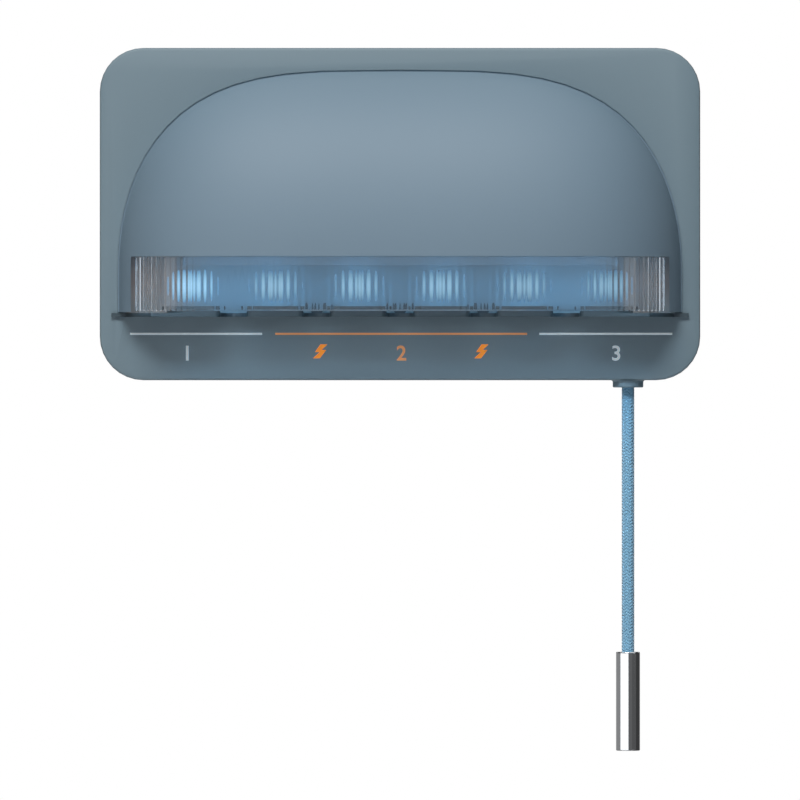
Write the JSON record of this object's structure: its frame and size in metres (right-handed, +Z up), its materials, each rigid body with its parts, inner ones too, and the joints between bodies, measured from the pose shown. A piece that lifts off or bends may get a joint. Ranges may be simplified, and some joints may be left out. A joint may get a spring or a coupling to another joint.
{
  "type": "uv toothbrush sterilizer",
  "caption": "Wall-hung toothbrush sterilizer: flat rounded case, domed hood over a notched brush rack, ribbed clear window with lamps behind it, and a weighted pull-cord switch.",
  "frame": {"origin": "middle of the case's width and height, on the wall plane at the back of the adhesive pad", "axes": "+X to the right as seen from the front, +Y into the wall, +Z up; the front faces -Y"},
  "size_m": [0.206, 0.048, 0.2412],
  "materials": {
    "case_shell": "fine moulded satin",
    "hood_shell": "fine moulded satin",
    "lens_clear": "clear, ribbed inside",
    "lamp_glass": "lit blue-white",
    "rack_shell": "moulded satin",
    "inner_white": "reflecting satin",
    "dark_plastic": "moulded",
    "circuit": "solder mask",
    "steel": "zinc plated",
    "screw_steel": "zinc plated",
    "cell_wrap": "shrink film",
    "foam": "closed-cell foam",
    "cord_braid": "braided",
    "grommet_rubber": "satin",
    "slide_plastic": "moulded acetal",
    "plunger_plastic": "moulded",
    "print_white": "pad-printed ink",
    "print_orange": "pad-printed ink",
    "weight_chrome": "polished"
  },
  "bodies": {
    "wall_mount": {"adhesive_pad": "foam", "wall_bracket": "steel"},
    "case": {"rear_cover": "case_shell", "front_housing": "case_shell", "cover_screw_1": "screw_steel", "cover_screw_2": "screw_steel", "cover_screw_3": "screw_steel", "cover_screw_4": "screw_steel", "cover_screw_5": "screw_steel", "cover_screw_6": "screw_steel", "hood": "hood_shell", "window_lens": "lens_clear", "chamber_ceiling": "inner_white", "hood_screw_1": "screw_steel", "hood_screw_2": "screw_steel", "hood_screw_3": "screw_steel", "hood_screw_4": "screw_steel", "brush_rack": "rack_shell", "rack_screw_1": "screw_steel", "rack_screw_2": "screw_steel", "rack_screw_3": "screw_steel", "uv_lamp_1": "lamp_glass", "uv_lamp_2": "lamp_glass", "uv_lamp_3": "lamp_glass", "uv_lamp_4": "lamp_glass", "uv_lamp_5": "lamp_glass", "uv_lamp_6": "lamp_glass", "lamp_board": "circuit", "battery_cell": "cell_wrap", "battery_cradle": "dark_plastic", "control_board": "circuit", "usb_socket": "steel", "cord_grommet": "grommet_rubber", "return_spring": "steel", "microswitch": "dark_plastic"},
    "slider": {"pull_slider": "slide_plastic", "cord_knot": "cord_braid", "cord_inner": "cord_braid"},
    "plunger": {"switch_plunger": "plunger_plastic"},
    "cord": {"pull_cord": "cord_braid", "pull_weight": "weight_chrome"}
  },
  "joints": [
    {"name": "case_lift", "type": "slide", "parent": "wall_mount", "child": "case", "axis": [0, 0, 1], "range_m": [0, 0.012]},
    {"name": "cord_pull", "type": "slide", "parent": "case", "child": "slider", "axis": [0, 0, -1], "range_m": [0, 0.005], "stiffness_N_per_m": 600, "springref_m": -0.006, "deforming": ["return_spring"]},
    {"name": "plunger_press", "type": "slide", "parent": "case", "child": "plunger", "axis": [-1, 0, 0], "range_m": [0, 0.0013]},
    {"name": "cord_swing", "type": "hinge", "parent": "slider", "child": "cord", "pos_m": [0.0783, -0.0069, -0.0572], "axis": [0, 1, 0], "range_deg": [-25, 25]}
  ],
  "couplings": [
    {"joint": "plunger_press", "follows": "cord_pull", "ratio": 0.25}
  ]
}
